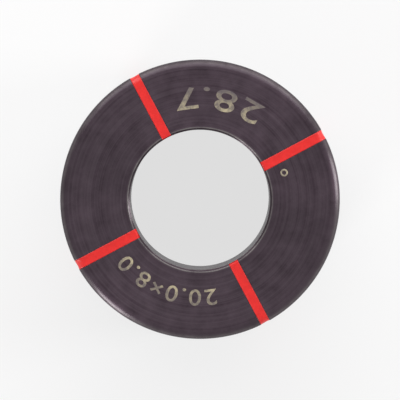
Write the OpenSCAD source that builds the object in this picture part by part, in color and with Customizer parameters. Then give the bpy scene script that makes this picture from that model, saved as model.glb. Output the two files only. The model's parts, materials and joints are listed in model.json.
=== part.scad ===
// Knockout die: the turned steel cup that a round punch is drawn into, to cut a conduit hole in sheet metal.
// It stands on its cutting face at z = 0, with the back face up. The first target line lies over +X.

/* [Body] */
// Outside diameter
body_d = 40; // [36:0.5:60]
// Height from the cutting face to the back face
body_h = 28; // [20:0.5:45]
// Radius of the rounded outer edge of the back face
back_edge_r = 1.2; // [0.6:0.1:3]
// Chamfer round the outside of the cutting face
front_chamfer = 0.6; // [0.1:0.1:2]

/* [Punch bore] */
// Diameter of the punch, which is the diameter of the hole that it cuts
punch_d = 28.3; // [24:0.1:30]
// Gap between the punch and the cutting edge, on each side
cutting_gap = 0.2; // [0.05:0.05:0.5]
// Height of the straight cutting land
land_h = 5; // [2:0.5:9]
// How far the bore opens out behind the land, on each side
relief = 0.6; // [0.2:0.1:1.5]
// Height of the taper from the land out to the relief
relief_rise = 2; // [0.5:0.5:4]
// Radius of the corner between the relief and the back wall
corner_r = 1.5; // [0.5:0.1:2.5]

/* [Draw stud hole] */
// Diameter of the draw stud that pulls the punch
stud_d = 19; // [12:0.5:22]
// Gap between the stud and its hole, on each side
stud_gap = 0.5; // [0.1:0.05:1]
// Thickness of the back wall that the stud passes through
wall_t = 8; // [5:0.5:12]
// Chamfer at both ends of the stud hole
hole_chamfer = 0.3; // [0.1:0.05:1]

/* [Target lines] */
// Number of lines, spaced evenly round the axis
line_count = 4; // [2:1:8]
// Width of a line
line_w = 1.4; // [0.6:0.1:2.5]
// Depth of the engraved groove
line_depth = 0.25; // [0.15:0.05:0.5]
// How far the enamel in the groove lies below the steel's surface
paint_sink = 0.08; // [0.02:0.02:0.12]

/* [Hidden] */
$fn = 96;
// How far a cutting shape runs past the faces that it opens
over = 1;
body_r = body_d / 2;
land_r = punch_d / 2 + cutting_gap;
relief_r = land_r + relief;
hole_r = stud_d / 2 + stud_gap;
// Height of the cavity, from the cutting face to the inside of the back wall
cavity_h = body_h - wall_t;
steel_colour = [0.26, 0.23, 0.25];
enamel_colour = [0.88, 0.2, 0.18];

// The waste that rounding takes off a square corner, which lies at [radius, radius]
module corner_waste(radius) {
    difference() {
        square(2 * radius);
        circle(radius);
    }
}

// Half section of the blank before it is bored, with its wall and back face turned down by inset
module blank_section(inset = 0) {
    wall_r = body_r - inset;
    back_z = body_h - inset;
    edge_r = back_edge_r - inset;
    foot = max(front_chamfer, inset);
    difference() {
        polygon([
            [0, 0],
            [body_r - foot, 0],
            [wall_r, foot - inset],
            [wall_r, back_z],
            [0, back_z]
        ]);
        translate([wall_r - edge_r, back_z - edge_r]) corner_waste(edge_r);
    }
}

// Half section of the hole for the draw stud, chamfered at both ends
module stud_hole_section() {
    mouth_r = hole_r + hole_chamfer + over;
    polygon([
        [0, cavity_h - over],
        [mouth_r, cavity_h - over],
        [hole_r, cavity_h + hole_chamfer],
        [hole_r, body_h - hole_chamfer],
        [mouth_r, body_h + over],
        [0, body_h + over]
    ]);
}

// Half section of the bore that takes the punch and the slug: cutting land, taper, relief and corner
module punch_bore_section() {
    difference() {
        polygon([
            [0, -over],
            [land_r, -over],
            [land_r, land_h],
            [relief_r, land_h + relief_rise],
            [relief_r, cavity_h],
            [0, cavity_h]
        ]);
        translate([relief_r - corner_r, cavity_h - corner_r]) corner_waste(corner_r);
    }
}

// Slabs as wide as a line, one for each, reaching from the axis out past the wall
module line_slabs() {
    for (i = [0 : line_count - 1])
        rotate([0, 0, i * 360 / line_count])
            translate([0, -line_w / 2, -over])
                cube([body_r + over, line_w, body_h + 2 * over]);
}

// The grooves of the target lines: what the slabs hold outside the turned-down blank
module line_grooves() {
    difference() {
        line_slabs();
        rotate_extrude() blank_section(line_depth);
    }
}

// One piece of tool steel, turned, bored and engraved
module die_body() {
    color(steel_colour)
        difference() {
            rotate_extrude()
                difference() {
                    blank_section();
                    stud_hole_section();
                    punch_bore_section();
                }
            line_grooves();
        }
}

// The enamel in the grooves, which runs from the stud hole over the back edge and down to the cutting face
module target_line_paint() {
    color(enamel_colour)
        intersection() {
            line_slabs();
            rotate_extrude()
                difference() {
                    blank_section(paint_sink);
                    blank_section(line_depth);
                    stud_hole_section();
                }
        }
}

die_body();
target_line_paint();
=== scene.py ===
import json

import bmesh
import bpy
import numpy as np
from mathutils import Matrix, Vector


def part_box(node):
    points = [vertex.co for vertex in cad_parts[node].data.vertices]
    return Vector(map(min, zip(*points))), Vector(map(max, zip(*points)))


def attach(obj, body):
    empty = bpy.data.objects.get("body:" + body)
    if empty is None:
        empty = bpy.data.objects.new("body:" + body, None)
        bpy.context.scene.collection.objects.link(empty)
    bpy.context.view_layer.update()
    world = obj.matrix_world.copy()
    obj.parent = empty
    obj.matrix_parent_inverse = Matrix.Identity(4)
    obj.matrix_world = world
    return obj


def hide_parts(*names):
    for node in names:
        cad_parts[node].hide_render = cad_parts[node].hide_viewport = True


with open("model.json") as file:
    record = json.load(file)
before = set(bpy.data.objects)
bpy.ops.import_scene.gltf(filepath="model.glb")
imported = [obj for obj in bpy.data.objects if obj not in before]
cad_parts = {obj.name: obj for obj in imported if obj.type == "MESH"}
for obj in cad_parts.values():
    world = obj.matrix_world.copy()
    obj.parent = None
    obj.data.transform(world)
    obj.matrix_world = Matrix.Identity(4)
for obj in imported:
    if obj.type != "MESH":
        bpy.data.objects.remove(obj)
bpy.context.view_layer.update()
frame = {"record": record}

# The die body is one piece of tool steel, turned and bored on a lathe, engraved with its target lines, then
# hardened, blackened in an oxide bath and oiled. It stands on its cutting face with the back face up.
mm = 0.001
mounts = {mount["name"]: mount for mount in frame["record"]["mounts"]}
stud_hole, punch_bore = mounts["stud_hole"], mounts["punch_bore"]
hole_r = stud_hole["dims"]["r_mm"] * mm
land_r = punch_bore["dims"]["r_mm"] * mm
land_h = punch_bore["dims"]["length_mm"] * mm
body_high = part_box("die_body")[1]
body_h = body_high.z
# The stud hole lies in the middle of the back wall, and is shorter than the wall by the two chamfers.
wall_t = 2 * (body_h - stud_hole["pos_m"][2])
hole_chamfer = (wall_t - stud_hole["dims"]["length_mm"] * mm) / 2
cavity_h = body_h - wall_t
line_count = 4
line_turn = 2 * np.pi / line_count
line_w = 1.4 * mm
line_depth = 0.25 * mm
groove_lip = 0.05 * mm
groove_side = 0.11 * mm
# The box ends at the lips of the grooves, which lie half a line's width beside the axes.
body_r = np.hypot(body_high.x, line_w / 2)
front_chamfer = 0.6 * mm
back_edge_r = 1.2 * mm
relief = 0.6 * mm
relief_r = land_r + relief
relief_rise = 2 * mm
corner_r = 1.5 * mm
# The cutting edge is ground sharp, and the others are broken with a stone. The boring tool's nose is round.
cutting_edge_r = 0.03 * mm
broken_edge_r = 0.08 * mm
tool_nose_r = 0.4 * mm

# Each row is a corner of the half section: radius from the axis, height, radius of its rounding, and the
# share of the oxide that is rubbed off there, which on the rounded back edge is partly a painted highlight.
# They go from the cutting edge out round the wall and the back face, and home through the stud hole and the
# bore.
section_corners = np.array([
    (land_r, 0, cutting_edge_r, 1),
    (body_r - front_chamfer, 0, broken_edge_r, 0.9),
    (body_r, front_chamfer, broken_edge_r, 1),
    # The rounded back edge is partly worn and partly a painted highlight, a paler rim all round.
    (body_r, body_h, back_edge_r, 0.38),
    (hole_r + hole_chamfer, body_h, broken_edge_r, 1),
    (hole_r, body_h - hole_chamfer, broken_edge_r, 0.9),
    (hole_r, cavity_h + hole_chamfer, broken_edge_r, 0.7),
    (hole_r + hole_chamfer, cavity_h, broken_edge_r, 0.7),
    (relief_r, cavity_h, corner_r, 0),
    (relief_r, land_h + relief_rise, tool_nose_r, 0),
    (land_r, land_h, tool_nose_r, 0),
])


def rounded_outline(corners, arc_points, run_points, hold):
    """Closed outline with an arc at each corner and an evenly divided run between two arcs.

    An arc is the rational quadratic curve with the corner as its middle control point, weighted by the
    sine of half the corner's angle, which is an exact circle. A run starts and ends with a point close to
    the arc, at the distance hold, so that flat stretches are shaded flat. Returns the points and the index
    of each arc's middle.
    """
    place, radius = corners[:, :2], corners[:, 2:3]
    to_last = np.roll(place, 1, axis=0) - place
    to_next = np.roll(place, -1, axis=0) - place
    to_last /= np.linalg.norm(to_last, axis=1, keepdims=True)
    to_next /= np.linalg.norm(to_next, axis=1, keepdims=True)
    half_angle = np.arccos(np.sum(to_last * to_next, axis=1, keepdims=True)) / 2
    reach = radius / np.tan(half_angle)
    start, end = place + to_last * reach, place + to_next * reach
    t = np.linspace(0, 1, arc_points)[None, :, None]
    bend = 2 * t * (1 - t) * np.sin(half_angle)[:, None]
    arc = (1 - t) ** 2 * start[:, None] + bend * place[:, None] + t ** 2 * end[:, None]
    arc /= (1 - t) ** 2 + bend + t ** 2
    run = np.roll(start, -1, axis=0) - end
    held = hold / np.linalg.norm(run, axis=1, keepdims=True)
    share = held + (1 - 2 * held) * np.linspace(0, 1, run_points)[None]
    straight = end[:, None] + run[:, None] * share[..., None]
    points = np.concatenate([arc, straight], axis=1)
    middles = np.arange(len(corners)) * (arc_points + run_points) + arc_points // 2
    return points.reshape(-1, 2), middles


def inset_blank(radius, height, depth):
    """Moves points of the blank's outside inwards by depth, square to the surface.

    The back face drops, the wall shrinks, and the rounded edge between them shrinks about its own centre.
    Points that are already deeper, such as those of the chamfers and the bores, stay where they are.
    """
    centre_r, centre_z = body_r - back_edge_r, body_h - back_edge_r
    out_r, out_z = radius - centre_r, height - centre_z
    on_edge = (out_r > 0) & (out_z > 0)
    shrink = (back_edge_r - depth) / np.maximum(np.hypot(out_r, out_z), broken_edge_r)
    inset_r = np.where(on_edge, centre_r + out_r * shrink, np.minimum(radius, body_r - depth))
    inset_z = np.where(on_edge, centre_z + out_z * shrink, np.minimum(height, body_h - depth))
    return inset_r, inset_z


def groove_depth(offset):
    """Depth of an engraved line at a distance from its middle.

    The floor is level, and each side is the S-curve of three times a square less twice a cube.
    """
    rise = np.clip((line_w / 2 + groove_lip - offset) / groove_side, 0, 1)
    return line_depth * rise ** 2 * (3 - 2 * rise)


def turned_body(section, beside, between):
    """The half section carried round the axis, with the target lines sunk into its outside.

    Beside a line the columns lie at fixed distances from its middle plane, so a groove has straight sides
    at every radius. Between two lines the columns share out the angle that is left. The two parameters are
    the place along the section and the column, and both close on themselves.
    """
    offset = np.concatenate([beside, np.full(between, beside[-1]), beside[:0:-1]])
    radius, height = inset_blank(section[:, :1], section[:, 1:], groove_depth(offset)[None])
    swing = np.arcsin(offset[None] / radius)
    near_side = swing[:, :len(beside)]
    far_side = line_turn - swing[:, len(beside) + between:]
    last = near_side[:, -1:]
    share = np.linspace(0, 1, between + 2)[None, 1:-1]
    angle = np.concatenate([near_side, last + (line_turn - 2 * last) * share, far_side], axis=1)
    angle = np.concatenate([angle + line_turn * i for i in range(line_count)], axis=1)
    radius = np.tile(radius, line_count)
    height = np.tile(height, line_count)
    return np.stack([radius * np.cos(angle), radius * np.sin(angle), height], axis=-1)


def add_piece(name, points, faces):
    """Puts points and faces into a smooth mesh object at the origin."""
    mesh = bpy.data.meshes.new(name)
    mesh.from_pydata(points, [], faces)
    mesh.shade_smooth()
    piece = bpy.data.objects.new(name, mesh)
    bpy.context.collection.objects.link(piece)
    return piece


def ring_faces(rows, columns):
    """Quads of a grid of rows and columns whose columns close on themselves, for rows that don't."""
    index = np.arange(rows * columns).reshape(rows, columns)
    beside = np.roll(index, -1, axis=1)
    return np.stack([index[:-1], beside[:-1], beside[1:], index[1:]], axis=-1).reshape(-1, 4)


flat_hold = 0.04 * mm
section, corner_index = rounded_outline(section_corners, arc_points=9, run_points=9, hold=flat_hold)
floor_columns = 3
side_columns = 7
groove_edge = line_w / 2 + groove_lip
beside_line = np.concatenate([
    np.linspace(0, groove_edge - groove_side, floor_columns, endpoint=False),
    np.linspace(groove_edge - groove_side, groove_edge, side_columns),
    [groove_edge + flat_hold],
])
body_points = turned_body(section, beside_line, between=46)
rows, columns = body_points.shape[:2]
# The last row meets the first one again at the cutting edge.
body_faces = ring_faces(rows + 1, columns) % (rows * columns)
die = add_piece("turned_die", body_points.reshape(-1, 3), body_faces)

# Each point keeps its place on the lathe: the direction from the axis, as a cosine and a sine, and the
# distance along the section, which the tool followed. It also keeps how much of the oxide is left there,
# as wear takes it off and, on the rounded back edge, a painted highlight does too: least at the middle of a
# corner's rounding, and all of it a short way past the rounding's ends.
pale_past_edge = 0.1 * mm
quarter_turn = np.pi / 2
steps = np.linalg.norm(np.roll(section, -1, axis=0) - section, axis=1)
along = np.cumsum(steps) - steps
apart = np.abs(along[:, None] - along[corner_index][None])
apart = np.minimum(apart, steps.sum() - apart)
pale_edge_reach = section_corners[:, 2] * quarter_turn / 2 + pale_past_edge
unworn_unsheened = (1 - section_corners[:, 3] + apart / pale_edge_reach).min(axis=1)
left_layer = die.data.attributes.new("unworn_unsheened", "FLOAT", "POINT")
left_layer.data.foreach_set("value", np.repeat(unworn_unsheened, columns).astype(np.float32))
lathe_place = body_points.copy()
lathe_place[..., :2] /= np.linalg.norm(body_points[..., :2], axis=-1, keepdims=True)
lathe_place[..., 2] = along[:, None]
lathe_layer = die.data.attributes.new("lathe_place", "FLOAT_VECTOR", "POINT")
lathe_layer.data.foreach_set("vector", lathe_place.astype(np.float32).ravel())


def add_node(tree, kind, inputs=None, **settings):
    """Adds a shader node, sets its properties, and gives each named input a value or a link."""
    node = tree.nodes.new(kind)
    for key, value in settings.items():
        setattr(node, key, value)
    for key, value in (inputs or {}).items():
        if isinstance(value, bpy.types.NodeSocket):
            tree.links.new(value, node.inputs[key])
        else:
            node.inputs[key].default_value = value
    return node


def new_material(name):
    """A material with an empty node tree, ready for its nodes."""
    material = bpy.data.materials.new(name)
    material.use_nodes = True
    material.node_tree.nodes.clear()
    return material, material.node_tree


def mix_colour(tree, factor, first, second):
    """Colour that goes from first to second as factor goes from 0 to 1."""
    node = tree.nodes.new("ShaderNodeMix")
    node.data_type = "RGBA"
    sockets = {"Factor_Float": factor, "A_Color": first, "B_Color": second}
    for socket in node.inputs:
        value = sockets.get(socket.identifier)
        if isinstance(value, bpy.types.NodeSocket):
            tree.links.new(value, socket)
        elif value is not None:
            socket.default_value = value
    return next(socket for socket in node.outputs if socket.identifier == "Result_Color")


def calculate(tree, operation, first, second):
    """One sum, product or other calculation on two values."""
    return add_node(tree, "ShaderNodeMath", {0: first, 1: second}, operation=operation).outputs["Value"]


def scale_vector(tree, vector, scale):
    """Vector with each of its three numbers multiplied by that of scale."""
    node = add_node(tree, "ShaderNodeVectorMath", {0: vector, 1: scale}, operation="MULTIPLY")
    return node.outputs["Vector"]


def spread(tree, value, old, new):
    """Value stretched from the old range to the new one, and held at the ends."""
    ends = {"From Min": old[0], "From Max": old[1], "To Min": new[0], "To Max": new[1]}
    return add_node(tree, "ShaderNodeMapRange", {"Value": value, **ends}).outputs["Result"]


def mottle_group():
    """Shader group of the unevenness that every finish here has, on the piece's own coordinates.

    Tone is a cloudy noise, stretched about its middle so that Contrast sets how hard the patches are. Grain
    is a much finer noise. Both go from 0 to 1, and the scales are in patches or grains for each metre.
    """
    tree = bpy.data.node_groups.new("mottle", "ShaderNodeTree")
    for name in ("Patch Scale", "Contrast", "Grain Scale"):
        tree.interface.new_socket(name, in_out="INPUT", socket_type="NodeSocketFloat")
    for name in ("Tone", "Grain"):
        tree.interface.new_socket(name, in_out="OUTPUT", socket_type="NodeSocketFloat")
    given = tree.nodes.new("NodeGroupInput").outputs
    place = add_node(tree, "ShaderNodeTexCoord").outputs["Object"]
    cloud_inputs = {"Vector": place, "Scale": given["Patch Scale"], "Detail": 6, "Roughness": 0.65}
    cloud = add_node(tree, "ShaderNodeTexNoise", cloud_inputs).outputs["Fac"]
    stretched = calculate(tree, "MULTIPLY", calculate(tree, "SUBTRACT", cloud, 0.5), given["Contrast"])
    tone = spread(tree, stretched, (-0.5, 0.5), (0, 1))
    grain_inputs = {"Vector": place, "Scale": given["Grain Scale"], "Detail": 2}
    grain = add_node(tree, "ShaderNodeTexNoise", grain_inputs).outputs["Fac"]
    add_node(tree, "NodeGroupOutput", {"Tone": tone, "Grain": grain})
    return tree


mottle = mottle_group()


def add_mottle(tree, patch_scale, contrast, grain_scale):
    """Places the mottle group in a material, and gives its tone and its grain."""
    values = {"Patch Scale": patch_scale, "Contrast": contrast, "Grain Scale": grain_scale}
    outputs = add_node(tree, "ShaderNodeGroup", values, node_tree=mottle).outputs
    return outputs["Tone"], outputs["Grain"]


def finish_material(tree, inputs):
    """Ends a material's tree with one Principled BSDF that has these inputs."""
    shader = add_node(tree, "ShaderNodeBsdfPrincipled", inputs)
    add_node(tree, "ShaderNodeOutputMaterial", {"Surface": shader.outputs["BSDF"]})


oxide_dark = (0.013, 0.004, 0.010, 1)
oxide_pale = (0.044, 0.025, 0.038, 1)
turned_pale = (0.078, 0.057, 0.071, 1)
# Bared steel at the worn edges, and on the rounded back edge also a painted highlight.
bared_steel_and_sheen = (0.21, 0.195, 0.188, 1)
# How often the turning marks change, for each radian round the axis and for each metre along the section:
# they are long arcs that lie close together.
marks_each_way = (0.1, 0.1, 1800)
# A mark is paler and rougher towards its crest. Where the edges are rubbed, the oxide goes from the pale
# patches first, and the steel is smoother. On the rounded back edge the bared steel is partly a painted
# highlight. The pale patches also hold the most oil. The grain stands half as high as the marks.
paler_marks, paler_share = (0.35, 0.7), (0, 0.5)
rougher_marks, marks_roughness = (0.3, 0.7), (0.34, 0.46)
pale_edge_patches, pale_edge_share = (0.2, 0.9), (0.3, 0.9)
rubbed_polish = 0.1
oil_film = (0.35, 0.55)
grain_relief = 0.5
steel, tree = new_material("black_oxide_steel")
tone, grain = add_mottle(tree, patch_scale=420, contrast=2.0, grain_scale=7000)
lathe = add_node(tree, "ShaderNodeAttribute", attribute_name="lathe_place").outputs["Vector"]
arcs = scale_vector(tree, lathe, marks_each_way)
marks_inputs = {"Vector": arcs, "Scale": 1, "Detail": 5, "Roughness": 0.75}
marks = add_node(tree, "ShaderNodeTexNoise", marks_inputs).outputs["Fac"]
left = add_node(tree, "ShaderNodeAttribute", attribute_name="unworn_unsheened").outputs["Fac"]
worn_and_sheened = spread(tree, left, (0, 1), (1, 0))
bared_and_sheen = calculate(tree, "MULTIPLY", worn_and_sheened, spread(tree, tone, pale_edge_patches, pale_edge_share))
oxide = mix_colour(tree, tone, oxide_dark, oxide_pale)
turned = mix_colour(tree, spread(tree, marks, paler_marks, paler_share), oxide, turned_pale)
polish = calculate(tree, "MULTIPLY", bared_and_sheen, rubbed_polish)
height = calculate(tree, "ADD", marks, calculate(tree, "MULTIPLY", grain, grain_relief))
bump = add_node(tree, "ShaderNodeBump", {"Height": height, "Strength": 0.3, "Distance": 0.02 * mm})
finish_material(tree, {
    "Base Color": mix_colour(tree, bared_and_sheen, turned, bared_steel_and_sheen),
    "Roughness": calculate(tree, "SUBTRACT", spread(tree, marks, rougher_marks, marks_roughness), polish),
    "Metallic": 0.85,
    "Specular Tint": (0.6, 0.6, 0.6, 1),
    "Anisotropic": 0.85,
    "Anisotropic Rotation": 0.25,
    "Coat Weight": spread(tree, tone, (0, 1), oil_film),
    "Coat Roughness": 0.22,
    "Normal": bump.outputs["Normal"],
})
die.data.materials.append(steel)
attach(die, "root")
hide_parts("die_body")

# The target lines are red enamel, wiped into the engraved grooves and baked. It shrinks as it dries, so it
# hangs from the groove's sides and lies lowest along the middle.
sink_side = 0.03 * mm
sink_middle = body_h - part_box("target_line_paint")[1].z
sink_ripple = 0.012 * mm
long_ripples, short_ripples = 7, 17


def enamel_strip(across, face_points, edge_points, wall_points):
    """One strip of enamel, as a loop across the groove carried along it.

    The loop goes over the top, which hangs in a cubic curve with ripples, and back along the groove's
    floor. The path runs out over the back face, round the edge's quarter circle and down the wall, and each
    point of the loop keeps its own depth under the steel. The ends lie on the chamfers of the stud hole and
    of the cutting face.
    """
    offset = np.concatenate([across, across[[-1, 0]]])
    on_top = np.arange(len(offset)) < len(across)
    hang = sink_middle + (sink_side - sink_middle) * np.abs(2 * offset / line_w) ** 3
    turns = 2 * np.pi * np.linspace(0, 1, face_points + edge_points + wall_points)[:, None]
    ripple = np.sin(long_ripples * turns) * np.cos(short_ripples * turns + 2 * np.pi * offset / line_w)
    depth = np.where(on_top, hang + sink_ripple * ripple, line_depth)
    depth[:, [0, len(across) - 1]] = sink_side
    face_depth, edge_depth, wall_depth = np.split(depth, [face_points, face_points + edge_points])
    out = np.linspace(0, 1, face_points, endpoint=False)[:, None]
    tilt = np.linspace(0, quarter_turn, edge_points, endpoint=False)[:, None]
    down = np.linspace(0, 1, wall_points)[:, None]
    centre_r, centre_z = body_r - back_edge_r, body_h - back_edge_r
    face_start = hole_r + hole_chamfer - face_depth
    face_radius = face_start + (centre_r - face_start) * out
    face_height = body_h - face_depth
    edge_radius = centre_r + (back_edge_r - edge_depth) * np.sin(tilt)
    edge_height = centre_z + (back_edge_r - edge_depth) * np.cos(tilt)
    wall_radius = body_r - wall_depth
    wall_height = centre_z + (front_chamfer - wall_depth - centre_z) * down
    radius = np.concatenate([face_radius, edge_radius, wall_radius])
    height = np.concatenate([face_height, edge_height, wall_height])
    side = np.broadcast_to(offset, radius.shape)
    return np.stack([np.sqrt(radius ** 2 - side ** 2), side, height], axis=-1)


across_points = 11
across_line = np.linspace(line_w / 2, -line_w / 2, across_points)
strip = enamel_strip(across_line, face_points=40, edge_points=12, wall_points=60)
strip_rows, strip_columns = strip.shape[:2]
strip_size = strip_rows * strip_columns
strip_points, strip_faces = [], []
for i in range(line_count):
    cos, sin = np.cos(line_turn * i), np.sin(line_turn * i)
    strip_points.append(strip.reshape(-1, 3) @ np.array([(cos, sin, 0), (-sin, cos, 0), (0, 0, 1)]))
    strip_faces += (ring_faces(strip_rows, strip_columns) + strip_size * i).tolist()
    first_end = np.arange(strip_columns) + strip_size * i
    last_end = first_end + strip_size - strip_columns
    strip_faces += [first_end[::-1].tolist(), last_end.tolist()]
enamel_lines = add_piece("enamel_lines", np.concatenate(strip_points), strip_faces)

enamel_deep = (0.66, 0.010, 0.009, 1)
enamel_bright = (0.80, 0.018, 0.015, 1)
enamel_roughness = (0.3, 0.42)
enamel, tree = new_material("red_enamel")
tone, grain = add_mottle(tree, patch_scale=900, contrast=2.5, grain_scale=3500)
bump = add_node(tree, "ShaderNodeBump", {"Height": grain, "Strength": 0.2, "Distance": 0.02 * mm})
finish_material(tree, {
    "Base Color": mix_colour(tree, tone, enamel_deep, enamel_bright),
    "Roughness": spread(tree, tone, (0, 1), enamel_roughness),
    "Normal": bump.outputs["Normal"],
})
enamel_lines.data.materials.append(enamel)
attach(enamel_lines, "root")
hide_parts("target_line_paint")

# Two sizes are etched into the back face with a laser, which burns the oxide off to a matt tan: the cutting
# bore in large figures that read from the rim, and the stud hole and its wall in small ones that read from
# the hole. A small ring beside a line marks where the hardness was tested.
mark_skin = 0.012 * mm
figure_weight = 0.006
figure_gap = 0.26
weld_reach = 0.0001


def figure_outline(character):
    """One figure as a closed flat solid, one unit thick about its own plane, with its baseline at zero."""
    curve = bpy.data.curves.new("figure", "FONT")
    curve.body = character
    curve.offset = figure_weight
    curve.extrude = 0.5
    holder = bpy.data.objects.new("figure", curve)
    mesh = bpy.data.meshes.new_from_object(holder)
    shape = bmesh.new()
    shape.from_mesh(mesh)
    bmesh.ops.remove_doubles(shape, verts=shape.verts, dist=weld_reach)
    bmesh.ops.recalc_face_normals(shape, faces=shape.faces)
    shape.to_mesh(mesh)
    shape.free()
    points = np.empty(len(mesh.vertices) * 3)
    mesh.vertices.foreach_get("co", points)
    faces = [list(face.vertices) for face in mesh.polygons]
    bpy.data.objects.remove(holder)
    bpy.data.meshes.remove(mesh)
    bpy.data.curves.remove(curve)
    return points.reshape(-1, 3), faces


def etched_figures(text, height, stretch, radius, middle, reads_from_rim):
    """Figures set round an arc, each one straight, with its own width and an even gap to the next one.

    A figure's tops point at the axis where it reads from the rim, and away from it otherwise. Its place is
    the arc's length up to its middle, turned into an angle about the axis. It is sunk into the back face to
    half the thickness of its skin.
    """
    outlines = [figure_outline(character) for character in text]
    scale = height / np.ptp(outlines[0][0][:, 1])
    wide = scale * stretch
    widths = np.array([np.ptp(points[:, 0]) for points, faces in outlines]) * wide
    gap = figure_gap * height
    ends = np.cumsum(widths + gap)
    centres = ends - widths / 2 - gap - (ends[-1] - gap) / 2
    turn = 1 if reads_from_rim else -1
    all_points, all_faces, count = [], [], 0
    for (points, faces), centre in zip(outlines, centres):
        angle = middle + turn * centre / radius
        x = (points[:, 0] - (points[:, 0].min() + points[:, 0].max()) / 2) * wide
        y = points[:, 1] * scale - height / 2
        out, side = radius - turn * y, turn * x
        placed_x = out * np.cos(angle) - side * np.sin(angle)
        placed_y = out * np.sin(angle) + side * np.cos(angle)
        all_points.append(np.stack([placed_x, placed_y, body_h + points[:, 2] * mark_skin], axis=1))
        all_faces += [[index + count for index in face] for face in faces]
        count += len(points)
    return np.concatenate(all_points), all_faces


def test_ring(centre_r, angle, radius, half_w, half_h, steps_round, steps_across):
    """A low ellipse carried round a small circle, sunk to its middle in the back face.

    The circle's centre lies at a radius and an angle from the axis. The two parameters are the angle round
    the ellipse and the angle round the circle, and both close.
    """
    across_t = np.linspace(0, 2 * np.pi, steps_across, endpoint=False)[:, None]
    round_t = np.linspace(0, 2 * np.pi, steps_round, endpoint=False)[None]
    out = radius + half_w * np.cos(across_t)
    x = centre_r * np.cos(angle) + out * np.cos(round_t)
    y = centre_r * np.sin(angle) + out * np.sin(round_t)
    height = body_h + half_h * np.sin(across_t)
    return np.stack([x, y, np.broadcast_to(height, x.shape)], axis=-1)


bore_size = f"{2 * land_r / mm:.1f}"
hole_size = f"{2 * hole_r / mm:.1f}×{wall_t / mm:.1f}"
bore_figures = etched_figures(
    bore_size,
    height=3.1 * mm,
    stretch=1.55,
    radius=14.5 * mm,
    middle=np.radians(51),
    reads_from_rim=True,
)
hole_figures = etched_figures(
    hole_size,
    height=2.3 * mm,
    stretch=1.15,
    radius=14 * mm,
    middle=np.radians(220.5),
    reads_from_rim=False,
)
ring_points = test_ring(
    centre_r=12.6 * mm,
    angle=np.radians(-10),
    radius=0.42 * mm,
    half_w=0.12 * mm,
    half_h=0.02 * mm,
    steps_round=48,
    steps_across=12,
)
ring_rows, ring_columns = ring_points.shape[:2]
ring_quads = ring_faces(ring_rows + 1, ring_columns) % (ring_rows * ring_columns)
bore_mark = add_piece("bore_size_mark", *bore_figures)
hole_mark = add_piece("hole_size_mark", *hole_figures)
hardness_ring = add_piece("hardness_ring", ring_points.reshape(-1, 3), ring_quads)
bore_mark.data.shade_flat()
hole_mark.data.shade_flat()

etch_faint = (0.082, 0.066, 0.080, 1)
etch_tan = (0.50, 0.43, 0.275, 1)
# How far the oxide is burnt off: unevenly by patches and by grains. The tan also fades from the inner
# radius outwards.
burnt_patches = (0.25, 1)
burnt_grains, grain_share = (0.3, 0.6), (0.6, 1)
tan_fade_radii, radius_share = (13.0 * mm, 16.4 * mm), (1, 0.08)
rougher_grains, etch_roughness = (0.3, 0.7), (0.5, 0.7)
etch, tree = new_material("etched_mark")
tone, grain = add_mottle(tree, patch_scale=1300, contrast=4, grain_scale=9000)
place = add_node(tree, "ShaderNodeTexCoord").outputs["Object"]
level = scale_vector(tree, place, (1, 1, 0))
from_axis = add_node(tree, "ShaderNodeVectorMath", {0: level}, operation="LENGTH").outputs["Value"]
by_patch = spread(tree, tone, (0, 1), burnt_patches)
by_grain = spread(tree, grain, burnt_grains, grain_share)
by_radius = spread(tree, from_axis, tan_fade_radii, radius_share)
tan_share = calculate(tree, "MULTIPLY", calculate(tree, "MULTIPLY", by_patch, by_grain), by_radius)
finish_material(tree, {
    "Base Color": mix_colour(tree, tan_share, etch_faint, etch_tan),
    "Roughness": spread(tree, grain, rougher_grains, etch_roughness),
    "Metallic": 0.3,
})
for mark in (bore_mark, hole_mark, hardness_ring):
    mark.data.materials.append(etch)
    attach(mark, "root")

# The floor is a pale studio table, painted matt, that the die stands on. The camera and the die's gloss see
# it nearly white, with the die's soft shadow.
floor_half = 2.0
floor_tone = (0.86, 0.86, 0.86, 1)
floor_glow = 0.72
white = (1, 1, 1, 1)
floor_points = floor_half * np.array([(-1, -1, 0), (1, -1, 0), (1, 1, 0), (-1, 1, 0)])
floor = add_piece("floor", floor_points, [(0, 1, 2, 3)])


def seen_directly(tree):
    """1 for a ray from the camera or off a glossy or clear surface, 0 for one that carries soft light."""
    path = add_node(tree, "ShaderNodeLightPath").outputs
    mirrored = calculate(tree, "MAXIMUM", path["Is Glossy Ray"], path["Is Transmission Ray"])
    return calculate(tree, "MAXIMUM", path["Is Camera Ray"], mirrored)


pale, tree = new_material("pale_floor")
matt = add_node(tree, "ShaderNodeBsdfDiffuse", {"Color": floor_tone}).outputs["BSDF"]
glow = add_node(tree, "ShaderNodeEmission", {"Color": white, "Strength": 1.0}).outputs["Emission"]
glow_share = calculate(tree, "MULTIPLY", seen_directly(tree), floor_glow)
mix = add_node(tree, "ShaderNodeMixShader", {"Fac": glow_share, 1: matt, 2: glow})
add_node(tree, "ShaderNodeOutputMaterial", {"Surface": mix.outputs["Shader"]})
floor.data.materials.append(pale)

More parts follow.
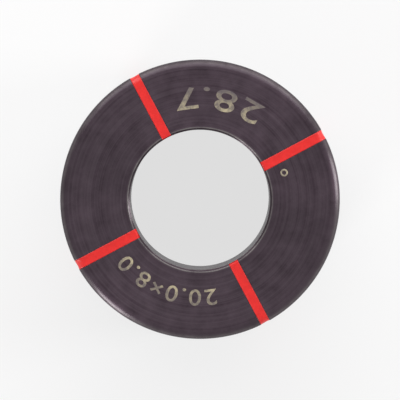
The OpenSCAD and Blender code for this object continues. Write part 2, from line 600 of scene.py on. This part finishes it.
# White walls stand all round the studio, far off. They look white to the camera and in the die's gloss, and
# light the die softly from every side.
wall_light, wall_look = 0.30, 1
world = bpy.data.worlds.new("studio")
bpy.context.scene.world = world
world.use_nodes = True
tree = world.node_tree
tree.nodes.clear()
strength = spread(tree, seen_directly(tree), (0, 1), (wall_light, wall_look))
sky = add_node(tree, "ShaderNodeBackground", {"Color": white, "Strength": strength})
add_node(tree, "ShaderNodeOutputWorld", {"Surface": sky.outputs["Background"]})

# Three soft boxes light the die: a wide key light, and two low narrow ones that show the sheen of the
# turned wall. They are placed by the clock as the camera sees it, with twelve at the top of the picture.
camera_roll = np.radians(-28)
hour_turn = np.radians(30)


def soft_box(name, clock, elevation, distance, width, height, watts):
    """A soft box that points at the middle of the die and isn't seen by the camera."""
    lamp = bpy.data.lights.new(name, "AREA")
    lamp.shape = "RECTANGLE"
    lamp.size, lamp.size_y = width, height
    lamp.energy = watts
    holder = bpy.data.objects.new(name, lamp)
    azimuth = quarter_turn + camera_roll - hour_turn * clock
    rise = np.radians(elevation)
    towards = Vector((np.cos(rise) * np.cos(azimuth), np.cos(rise) * np.sin(azimuth), np.sin(rise)))
    holder.location = Vector((0, 0, body_h / 2)) + towards * distance
    holder.rotation_euler = towards.to_track_quat("Z", "Y").to_euler()
    holder.visible_camera = False
    bpy.context.collection.objects.link(holder)


soft_box("key", clock=12, elevation=36, distance=0.42, width=0.90, height=0.34, watts=2.5)
soft_box("fill", clock=2.8, elevation=14, distance=0.45, width=0.12, height=0.36, watts=1.2)
soft_box("side", clock=7.3, elevation=14, distance=0.45, width=0.12, height=0.36, watts=1.2)

# The camera looks down on the back face, a little from the top of the picture, as in the photograph. It is
# rolled so that the target lines lie as they do there.
view_tilt = np.radians(2.8)
view_distance = 0.36
view_field = 57 * mm
camera = bpy.data.cameras.new("camera")
camera.sensor_width = 36
camera.lens = camera.sensor_width * view_distance / view_field
camera.clip_start, camera.clip_end = 0.01, 10
eye = bpy.data.objects.new("camera", camera)
lean = np.sin(view_tilt)
sight_line = Vector((-np.sin(camera_roll) * lean, np.cos(camera_roll) * lean, np.cos(view_tilt)))
eye.location = Vector((0, 0, body_h)) + sight_line * view_distance
eye.rotation_euler = (-view_tilt, 0, camera_roll)
bpy.context.collection.objects.link(eye)
bpy.context.scene.camera = eye
bpy.context.scene.view_settings.view_transform = "Standard"
